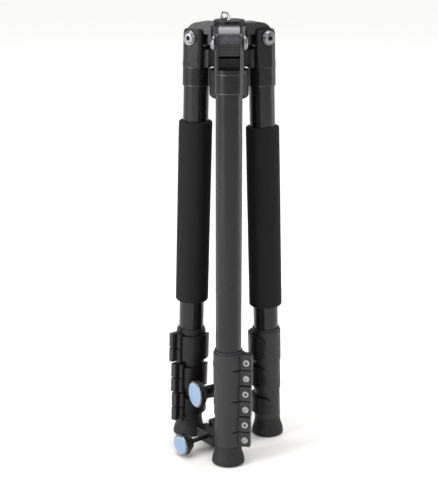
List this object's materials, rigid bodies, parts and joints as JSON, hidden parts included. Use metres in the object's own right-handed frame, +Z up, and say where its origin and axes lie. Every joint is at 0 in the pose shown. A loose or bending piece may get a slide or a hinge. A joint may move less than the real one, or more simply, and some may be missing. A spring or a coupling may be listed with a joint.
{
  "type": "travel tripod",
  "caption": "Travel tripod folded back over its ball head, with telescoping legs, flip-lock clamps, foam grips, a centre column and a weight hook.",
  "frame": {"origin": "on the centre column's axis, at the plane the rubber feet stand on", "axes": "+Z up along the column, -Y towards the bare front leg, +X to its right as seen from the front"},
  "size_m": [0.1192, 0.1128, 0.4412],
  "materials": {
    "black_tube": "satin black powder coat",
    "black_casting": "satin black paint",
    "black_plastic": "satin",
    "rubber": "matte",
    "foam": "matte foam",
    "steel": "satin",
    "chrome": "polished",
    "ball_metal": "satin",
    "seat_plastic": "matte",
    "blue_anodised": "satin anodised"
  },
  "bodies": {
    "hub": {"hub": "black_casting", "pivot_bolts": "steel"},
    "column": {"column_tube": "black_tube", "column_end_cap": "black_plastic", "head_base": "black_casting"},
    "column_lock": {"column_lock": "black_plastic"},
    "weight_hook": {"weight_hook": "chrome"},
    "housing": {"ball_housing": "black_casting"},
    "seat": {"ball_seat": "seat_plastic"},
    "ball": {"ball_stem": "ball_metal", "clamp_body": "black_casting", "camera_plate": "black_casting"},
    "jaw": {"clamp_jaw": "black_casting"},
    "clamp_knob": {"clamp_knob": "black_plastic", "clamp_knob_cap": "blue_anodised"},
    "main_knob": {"main_knob": "black_plastic", "main_knob_cap": "blue_anodised"},
    "pan_knob": {"pan_knob": "black_plastic"},
    "camera_screw": {"camera_screw": "steel"},
    "front_leg": {"front_casting": "black_casting", "front_tube_1": "black_tube", "front_clamp_1": "black_plastic"},
    "front_tab": {"front_angle_tab": "black_plastic"},
    "front_section_2": {"front_tube_2": "black_tube", "front_clamp_2": "black_plastic"},
    "front_section_3": {"front_tube_3": "black_tube", "front_clamp_3": "black_plastic"},
    "front_section_4": {"front_tube_4": "black_tube", "front_foot": "rubber"},
    "front_lever_1": {"front_lever_1": "black_plastic"},
    "front_lever_2": {"front_lever_2": "black_plastic"},
    "front_lever_3": {"front_lever_3": "black_plastic"},
    "right_leg": {"right_casting": "black_casting", "right_tube_1": "black_tube", "right_clamp_1": "black_plastic", "right_grip": "foam"},
    "right_tab": {"right_angle_tab": "black_plastic"},
    "right_section_2": {"right_tube_2": "black_tube", "right_clamp_2": "black_plastic"},
    "right_section_3": {"right_tube_3": "black_tube", "right_clamp_3": "black_plastic"},
    "right_section_4": {"right_tube_4": "black_tube", "right_foot": "rubber"},
    "right_lever_1": {"right_lever_1": "black_plastic"},
    "right_lever_2": {"right_lever_2": "black_plastic"},
    "right_lever_3": {"right_lever_3": "black_plastic"},
    "left_leg": {"left_casting": "black_casting", "left_tube_1": "black_tube", "left_clamp_1": "black_plastic", "left_grip": "foam"},
    "left_tab": {"left_angle_tab": "black_plastic"},
    "left_section_2": {"left_tube_2": "black_tube", "left_clamp_2": "black_plastic"},
    "left_section_3": {"left_tube_3": "black_tube", "left_clamp_3": "black_plastic"},
    "left_section_4": {"left_tube_4": "black_tube", "left_foot": "rubber"},
    "left_lever_1": {"left_lever_1": "black_plastic"},
    "left_lever_2": {"left_lever_2": "black_plastic"},
    "left_lever_3": {"left_lever_3": "black_plastic"}
  },
  "joints": [
    {"name": "column_slide", "type": "slide", "parent": "hub", "child": "column", "axis": [0, 0, 1], "range_m": [0, 0.262]},
    {"name": "column_lock_twist", "type": "hinge", "parent": "hub", "child": "column_lock", "pos_m": [0, 0, 0.373], "axis": [0, 0, 1], "range_deg": [0, 90]},
    {"name": "weight_hook_swivel", "type": "hinge", "parent": "column", "child": "weight_hook", "pos_m": [0, 0, 0.436], "axis": [0, 0, 1], "continuous": true},
    {"name": "head_pan", "type": "hinge", "parent": "column", "child": "housing", "pos_m": [0, 0, 0.086], "axis": [0, 0, 1], "range_deg": [-8, 8]},
    {"name": "ball_swivel", "type": "hinge", "parent": "housing", "child": "seat", "pos_m": [0, 0, 0.0486], "axis": [0, 0, 1], "range_deg": [-8, 8]},
    {"name": "ball_tilt", "type": "hinge", "parent": "seat", "child": "ball", "pos_m": [0, 0, 0.0486], "axis": [0.6293, -0.7771, 0], "range_deg": [-6, 6]},
    {"name": "clamp_jaw_slide", "type": "slide", "parent": "ball", "child": "jaw", "axis": [-0.7771, -0.6293, 0], "range_m": [0, 0.003]},
    {"name": "clamp_knob_turn", "type": "hinge", "parent": "jaw", "child": "clamp_knob", "pos_m": [-0.04352, -0.03524, 0.0132], "axis": [-0.7771, -0.6293, 0], "range_deg": [0, 1350]},
    {"name": "main_knob_turn", "type": "hinge", "parent": "housing", "child": "main_knob", "pos_m": [-0.02944, -0.017, 0.06], "axis": [-0.866, -0.5, 0], "range_deg": [0, 360]},
    {"name": "pan_knob_turn", "type": "hinge", "parent": "housing", "child": "pan_knob", "pos_m": [0, 0.022, 0.0828], "axis": [0, 1, 0], "range_deg": [0, 360]},
    {"name": "camera_screw_turn", "type": "hinge", "parent": "ball", "child": "camera_screw", "pos_m": [0, 0, 0.005], "axis": [0, 0, -1], "continuous": true},
    {"name": "front_leg_swing", "type": "hinge", "parent": "hub", "child": "front_leg", "pos_m": [0, -0.0352, 0.4151], "axis": [-1, 0, 0], "range_deg": [0, 176]},
    {"name": "front_tab_pull", "type": "slide", "parent": "front_leg", "child": "front_tab", "axis": [0, 0.9995, -0.0309], "range_m": [0, 0.0026], "stiffness_N_per_m": 300},
    {"name": "front_section_2_slide", "type": "slide", "parent": "front_leg", "child": "front_section_2", "axis": [0, -0.0309, -0.9995], "range_m": [0, 0.232]},
    {"name": "front_section_3_slide", "type": "slide", "parent": "front_section_2", "child": "front_section_3", "axis": [0, -0.0309, -0.9995], "range_m": [0, 0.26]},
    {"name": "front_section_4_slide", "type": "slide", "parent": "front_section_3", "child": "front_section_4", "axis": [0, -0.0309, -0.9995], "range_m": [0, 0.288]},
    {"name": "front_lever_1_flip", "type": "hinge", "parent": "front_leg", "child": "front_lever_1", "pos_m": [0.0191, -0.04688, 0.10006], "axis": [0, -0.0309, -0.9995], "range_deg": [0, 100]},
    {"name": "front_lever_2_flip", "type": "hinge", "parent": "front_section_2", "child": "front_lever_2", "pos_m": [0.01837, -0.04768, 0.06782], "axis": [0, -0.0309, -0.9995], "range_deg": [0, 100]},
    {"name": "front_lever_3_flip", "type": "hinge", "parent": "front_section_3", "child": "front_lever_3", "pos_m": [0.01765, -0.04849, 0.03558], "axis": [0, -0.0309, -0.9995], "range_deg": [0, 100]},
    {"name": "right_leg_swing", "type": "hinge", "parent": "hub", "child": "right_leg", "pos_m": [0.03048, 0.0176, 0.4151], "axis": [0.5, -0.866, 0], "range_deg": [0, 176]},
    {"name": "right_tab_pull", "type": "slide", "parent": "right_leg", "child": "right_tab", "axis": [-0.8656, -0.4998, -0.0309], "range_m": [0, 0.0026], "stiffness_N_per_m": 300},
    {"name": "right_section_2_slide", "type": "slide", "parent": "right_leg", "child": "right_section_2", "axis": [0.0267, 0.0154, -0.9995], "range_m": [0, 0.232]},
    {"name": "right_section_3_slide", "type": "slide", "parent": "right_section_2", "child": "right_section_3", "axis": [0.0267, 0.0154, -0.9995], "range_m": [0, 0.26]},
    {"name": "right_section_4_slide", "type": "slide", "parent": "right_section_3", "child": "right_section_4", "axis": [0.0267, 0.0154, -0.9995], "range_m": [0, 0.288]},
    {"name": "right_lever_1_flip", "type": "hinge", "parent": "right_leg", "child": "right_lever_1", "pos_m": [0.03105, 0.03998, 0.10006], "axis": [0.0267, 0.0154, -0.9995], "range_deg": [0, 100]},
    {"name": "right_lever_2_flip", "type": "hinge", "parent": "right_section_2", "child": "right_lever_2", "pos_m": [0.03153, 0.03948, 0.0678], "axis": [0.0267, 0.0154, -0.9995], "range_deg": [0, 100]},
    {"name": "right_lever_3_flip", "type": "hinge", "parent": "right_section_3", "child": "right_lever_3", "pos_m": [0.03101, 0.03833, 0.0355], "axis": [0.0267, 0.0154, -0.9995], "range_deg": [0, 100]},
    {"name": "left_leg_swing", "type": "hinge", "parent": "hub", "child": "left_leg", "pos_m": [-0.03048, 0.0176, 0.4151], "axis": [0.5, 0.866, 0], "range_deg": [0, 176]},
    {"name": "left_tab_pull", "type": "slide", "parent": "left_leg", "child": "left_tab", "axis": [0.8656, -0.4998, -0.0309], "range_m": [0, 0.0026], "stiffness_N_per_m": 300},
    {"name": "left_section_2_slide", "type": "slide", "parent": "left_leg", "child": "left_section_2", "axis": [-0.0267, 0.0154, -0.9995], "range_m": [0, 0.232]},
    {"name": "left_section_3_slide", "type": "slide", "parent": "left_section_2", "child": "left_section_3", "axis": [-0.0267, 0.0154, -0.9995], "range_m": [0, 0.26]},
    {"name": "left_section_4_slide", "type": "slide", "parent": "left_section_3", "child": "left_section_4", "axis": [-0.0267, 0.0154, -0.9995], "range_m": [0, 0.288]},
    {"name": "left_lever_1_flip", "type": "hinge", "parent": "left_leg", "child": "left_lever_1", "pos_m": [-0.05015, 0.0069, 0.10006], "axis": [-0.0267, 0.0154, -0.9995], "range_deg": [0, 100]},
    {"name": "left_lever_2_flip", "type": "hinge", "parent": "left_section_2", "child": "left_lever_2", "pos_m": [-0.04829, 0.00659, 0.06774], "axis": [-0.0267, 0.0154, -0.9995], "range_deg": [0, 25]},
    {"name": "left_lever_3_flip", "type": "hinge", "parent": "left_section_3", "child": "left_lever_3", "pos_m": [-0.04814, 0.00741, 0.03549], "axis": [-0.0267, 0.0154, -0.9995], "range_deg": [0, 100]}
  ],
  "couplings": [
    {"joint": "clamp_knob_turn", "follows": "clamp_jaw_slide", "rad_per_m": 7854}
  ]
}
